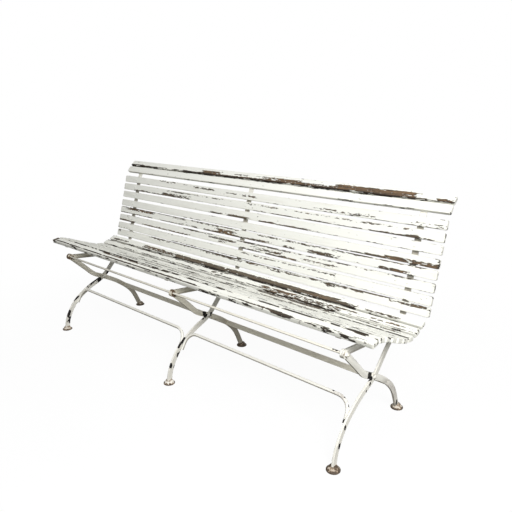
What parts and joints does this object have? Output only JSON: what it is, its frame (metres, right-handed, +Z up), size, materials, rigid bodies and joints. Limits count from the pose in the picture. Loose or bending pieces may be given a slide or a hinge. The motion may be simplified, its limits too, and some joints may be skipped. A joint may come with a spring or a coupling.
{
  "type": "folding garden bench",
  "caption": "Long folding bench: painted wooden slats on crossed forged iron frames, with a dished seat that hooks the legs open and a back that rolls over at the top.",
  "frame": {"origin": "on the ground, under the middle of the bench's length and depth", "axes": "+X along the bench to the sitter's left, which is the right end seen from the front, +Y from the front towards the back, +Z up"},
  "size_m": [2, 0.656, 0.8925],
  "materials": {
    "painted_wood": "chalky white paint, cracked and peeling along the grain",
    "painted_iron": "cream-white paint, chipped to dark iron",
    "rusted_iron": "rusted, with traces of paint"
  },
  "bodies": {
    "back_frame": {"back_slat_01": "painted_wood", "back_slat_02": "painted_wood", "back_slat_03": "painted_wood", "back_slat_04": "painted_wood", "back_slat_05": "painted_wood", "back_slat_06": "painted_wood", "back_slat_07": "painted_wood", "back_slat_08": "painted_wood", "back_slat_09": "painted_wood", "back_slat_10": "painted_wood", "frame_bar_left": "painted_iron", "frame_bar_middle": "painted_iron", "frame_bar_right": "painted_iron", "front_foot_left": "rusted_iron", "front_foot_middle": "rusted_iron", "front_foot_right": "rusted_iron", "crossing_rivet_left": "painted_iron", "crossing_rivet_middle": "painted_iron", "crossing_rivet_right": "painted_iron", "hook_pin_left": "painted_iron", "hook_pin_middle": "painted_iron", "hook_pin_right": "painted_iron", "front_stretcher_left": "painted_iron", "front_stretcher_right": "painted_iron"},
    "rear_legs": {"rear_leg_left": "painted_iron", "rear_leg_middle": "painted_iron", "rear_leg_right": "painted_iron", "rear_foot_left": "rusted_iron", "rear_foot_middle": "rusted_iron", "rear_foot_right": "rusted_iron", "pivot_rod": "rusted_iron", "rod_nut_left": "rusted_iron", "rod_nut_right": "rusted_iron", "rear_stretcher_left": "painted_iron", "rear_stretcher_right": "painted_iron"},
    "seat": {"seat_slat_01": "painted_wood", "seat_slat_02": "painted_wood", "seat_slat_03": "painted_wood", "seat_slat_04": "painted_wood", "seat_slat_05": "painted_wood", "seat_slat_06": "painted_wood", "seat_slat_07": "painted_wood", "seat_slat_08": "painted_wood", "seat_slat_09": "painted_wood", "seat_bar_left": "painted_iron", "seat_bar_middle": "painted_iron", "seat_bar_right": "painted_iron", "seat_strap_left": "painted_iron", "seat_strap_middle": "painted_iron", "seat_strap_right": "painted_iron", "seat_packing_left": "painted_iron", "seat_packing_middle": "painted_iron", "seat_packing_right": "painted_iron", "pivot_washer_left": "rusted_iron", "pivot_washer_middle": "rusted_iron", "pivot_washer_right": "rusted_iron"}
  },
  "joints": [
    {"name": "leg_fold", "type": "hinge", "parent": "back_frame", "child": "rear_legs", "pos_m": [0, -0.04502, 0.2525], "axis": [-1, 0, 0], "range_deg": [0, 74]},
    {"name": "seat_lift", "type": "hinge", "parent": "rear_legs", "child": "seat", "pos_m": [0, -0.24502, 0.42], "axis": [1, 0, 0], "range_deg": [0, 152.44]}
  ],
  "couplings": [
    {"joint": "seat_lift", "follows": "leg_fold", "ratio": 2.06}
  ]
}
